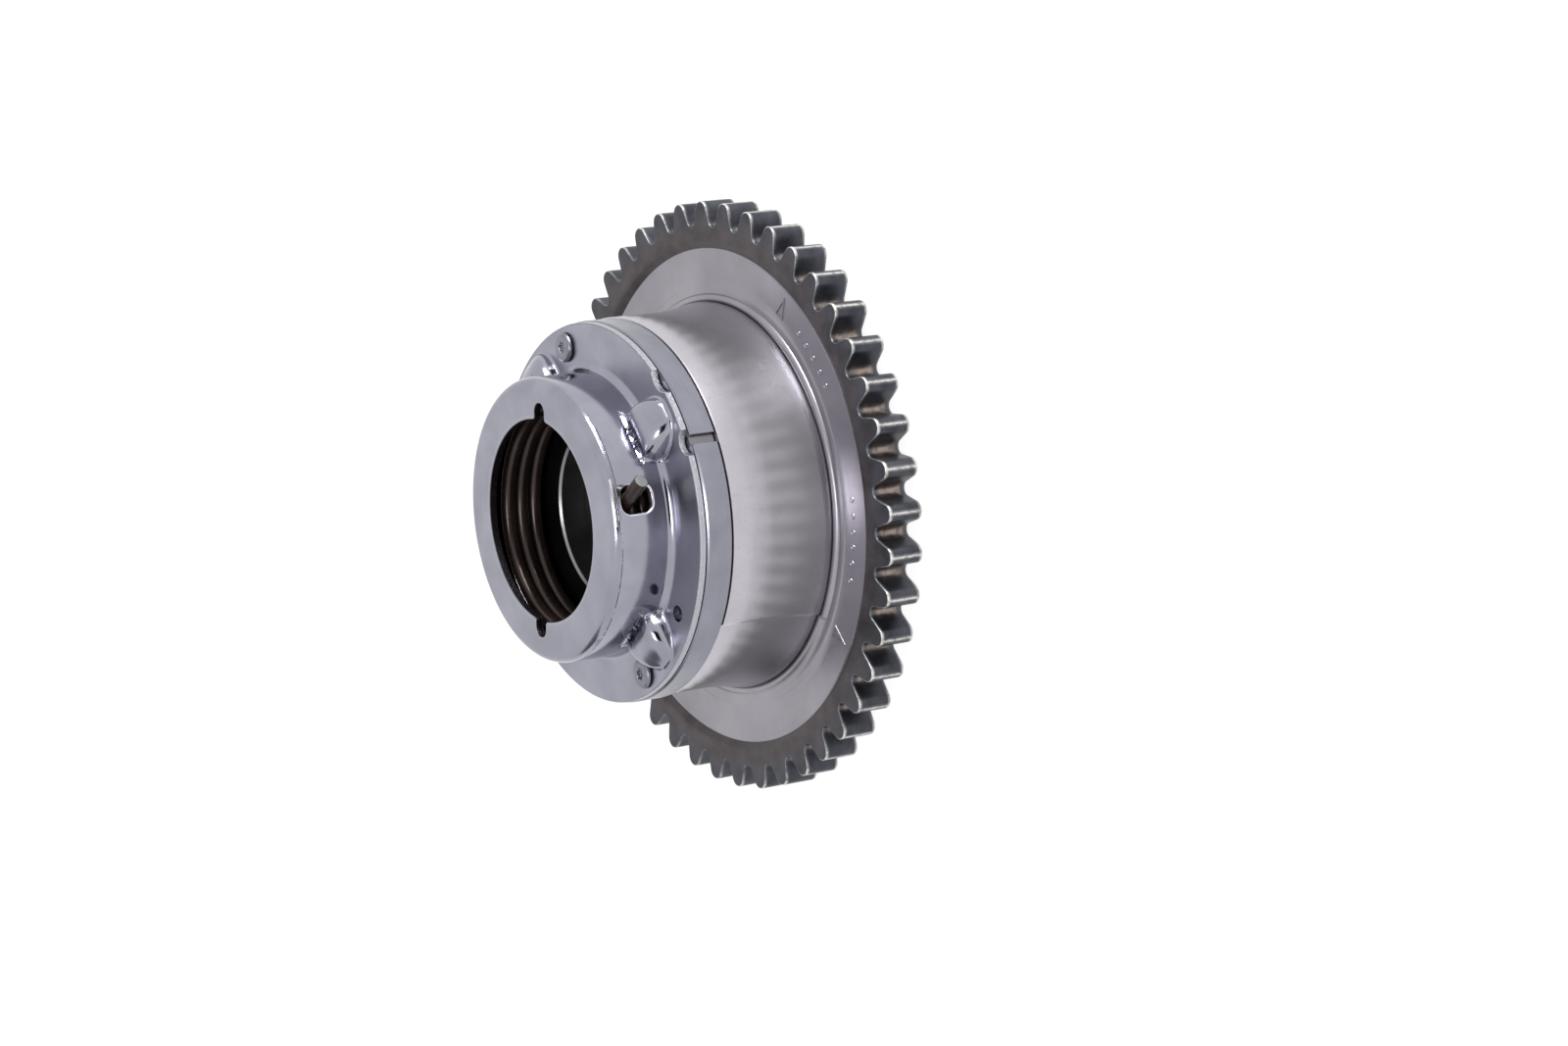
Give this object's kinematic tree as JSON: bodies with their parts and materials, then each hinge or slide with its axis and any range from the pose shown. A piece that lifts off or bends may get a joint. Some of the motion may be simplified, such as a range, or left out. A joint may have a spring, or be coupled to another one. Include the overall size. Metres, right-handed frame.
{
  "type": "vane cam phaser",
  "caption": "Vane cam phaser: inverted-tooth chain sprocket with a barrel housing, a vaned rotor inside, and a pressed cover that holds a torsion spring.",
  "frame": {"origin": "on the axis, in the flat back face that turns towards the camshaft", "axes": "+Z along the axis, out of the spring cover's mouth and away from the camshaft; the cover's two mouth notches lie on +Y and -Y"},
  "size_m": [0.112, 0.112, 0.0462],
  "materials": {
    "sintered_steel": "sintered steel, steam treated, blasted on the barrel",
    "plate_steel": "turned and ground",
    "zinc_sheet": "drawn sheet steel, bright zinc plated",
    "screw_steel": "zinc plated",
    "rotor_steel": "sintered steel, machined faces",
    "spring_steel": "oil tempered wire, dark brown",
    "hardened_steel": "hardened and ground",
    "seal_polymer": "moulded bearing plastic"
  },
  "bodies": {
    "housing": {"sprocket_housing": "sintered_steel", "back_plate": "plate_steel", "front_plate": "plate_steel", "spring_cover": "zinc_sheet", "torsion_spring": "spring_steel", "cover_screws": "screw_steel", "clamp_bolts": "screw_steel", "lock_bush": "hardened_steel", "back_dowel": "hardened_steel", "front_dowel": "hardened_steel", "lobe_seal_spring_1": "spring_steel", "lobe_seal_spring_2": "spring_steel", "lobe_seal_spring_3": "spring_steel", "lobe_seal_spring_4": "spring_steel"},
    "rotor": {"rotor": "rotor_steel", "lock_pin_cap": "zinc_sheet", "lock_pin_spring": "spring_steel", "vane_seal_spring_1": "spring_steel", "vane_seal_spring_2": "spring_steel", "vane_seal_spring_3": "spring_steel", "vane_seal_spring_4": "spring_steel"},
    "lock_pin": {"lock_pin": "hardened_steel"},
    "vane_seal_1": {"vane_seal_1": "seal_polymer"},
    "vane_seal_2": {"vane_seal_2": "seal_polymer"},
    "vane_seal_3": {"vane_seal_3": "seal_polymer"},
    "vane_seal_4": {"vane_seal_4": "seal_polymer"},
    "lobe_seal_1": {"lobe_seal_1": "seal_polymer"},
    "lobe_seal_2": {"lobe_seal_2": "seal_polymer"},
    "lobe_seal_3": {"lobe_seal_3": "seal_polymer"},
    "lobe_seal_4": {"lobe_seal_4": "seal_polymer"}
  },
  "joints": [
    {"name": "rotor_phase", "type": "hinge", "parent": "housing", "child": "rotor", "pos_m": [0, 0, 0], "axis": [0, 0, 1], "range_deg": [0, 25], "stiffness_Nm_per_rad": 1.5, "springref_deg": -37.24, "deforming": ["torsion_spring"]},
    {"name": "lock_pin_slide", "type": "slide", "parent": "rotor", "child": "lock_pin", "axis": [0, 0, 1], "range_m": [0, 0.0008], "stiffness_N_per_m": 500, "springref_m": -0.006, "deforming": ["lock_pin_spring"]},
    {"name": "vane_seal_slide_1", "type": "slide", "parent": "rotor", "child": "vane_seal_1", "axis": [0.9763, -0.2164, 0], "range_m": [-0.0003, 0], "stiffness_N_per_m": 100, "springref_m": 0.0005, "deforming": ["vane_seal_spring_1"]},
    {"name": "vane_seal_slide_2", "type": "slide", "parent": "rotor", "child": "vane_seal_2", "axis": [0.2164, 0.9763, 0], "range_m": [-0.0003, 0], "stiffness_N_per_m": 100, "springref_m": 0.0005, "deforming": ["vane_seal_spring_2"]},
    {"name": "vane_seal_slide_3", "type": "slide", "parent": "rotor", "child": "vane_seal_3", "axis": [-0.9969, 0.0792, 0], "range_m": [-0.0003, 0], "stiffness_N_per_m": 100, "springref_m": 0.0005, "deforming": ["vane_seal_spring_3"]},
    {"name": "vane_seal_slide_4", "type": "slide", "parent": "rotor", "child": "vane_seal_4", "axis": [-0.2164, -0.9763, 0], "range_m": [-0.0003, 0], "stiffness_N_per_m": 100, "springref_m": 0.0005, "deforming": ["vane_seal_spring_4"]},
    {"name": "lobe_seal_slide_1", "type": "slide", "parent": "housing", "child": "lobe_seal_1", "axis": [0.7071, 0.7071, 0], "range_m": [0, 0.0003], "stiffness_N_per_m": 100, "springref_m": -0.0005, "deforming": ["lobe_seal_spring_1"]},
    {"name": "lobe_seal_slide_2", "type": "slide", "parent": "housing", "child": "lobe_seal_2", "axis": [-0.7071, 0.7071, 0], "range_m": [0, 0.0003], "stiffness_N_per_m": 100, "springref_m": -0.0005, "deforming": ["lobe_seal_spring_2"]},
    {"name": "lobe_seal_slide_3", "type": "slide", "parent": "housing", "child": "lobe_seal_3", "axis": [-0.7071, -0.7071, 0], "range_m": [0, 0.0003], "stiffness_N_per_m": 100, "springref_m": -0.0005, "deforming": ["lobe_seal_spring_3"]},
    {"name": "lobe_seal_slide_4", "type": "slide", "parent": "housing", "child": "lobe_seal_4", "axis": [0.7071, -0.7071, 0], "range_m": [0, 0.0003], "stiffness_N_per_m": 100, "springref_m": -0.0005, "deforming": ["lobe_seal_spring_4"]}
  ]
}
